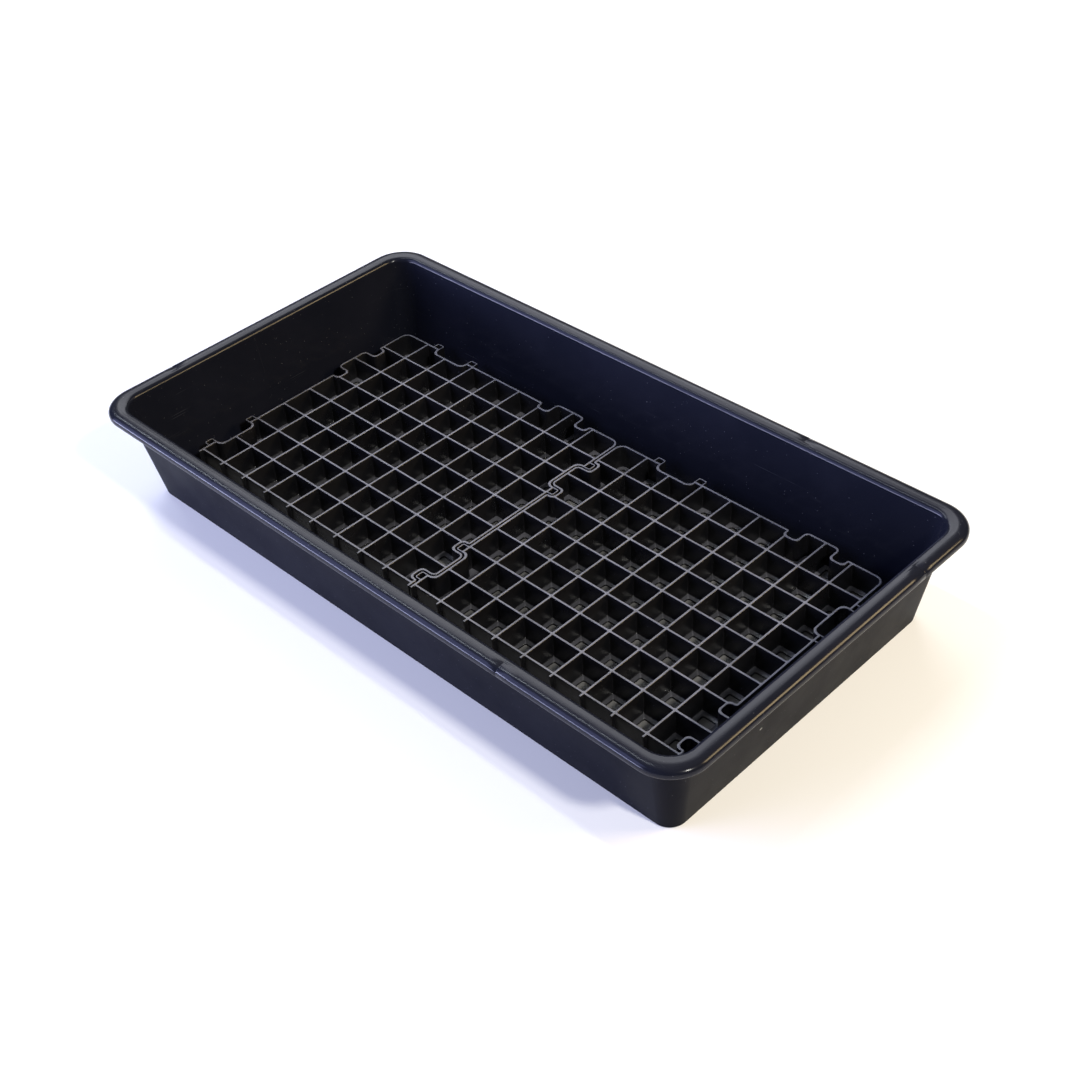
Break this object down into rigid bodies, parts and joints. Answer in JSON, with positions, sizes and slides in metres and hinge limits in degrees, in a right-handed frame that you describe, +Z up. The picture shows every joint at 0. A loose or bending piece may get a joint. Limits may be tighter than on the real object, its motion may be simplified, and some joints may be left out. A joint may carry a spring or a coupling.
{
  "type": "containment tray with grid inserts",
  "caption": "Shallow rectangular black plastic drip tray with sloping walls and a rolled rim, holding interlocking open grid tiles that lift out.",
  "frame": {"origin": "centre of the footprint, on the surface the tray stands on", "axes": "+X along the tray's length, +Y across it, +Z up"},
  "size_m": [0.782, 0.4276, 0.112],
  "materials": {
    "tray_plastic": "semi-gloss moulded black plastic",
    "grid_plastic": "satin black plastic"
  },
  "bodies": {
    "tray": {"tray": "tray_plastic"},
    "grid_left": {"grid_tile_left": "grid_plastic"},
    "grid_right": {"grid_tile_right": "grid_plastic"}
  },
  "joints": [
    {"name": "lift_left", "type": "slide", "parent": "tray", "child": "grid_left", "axis": [0, 0, 1], "range_m": [0, 0.13]},
    {"name": "lift_right", "type": "slide", "parent": "tray", "child": "grid_right", "axis": [0, 0, 1], "range_m": [0, 0.13]}
  ]
}
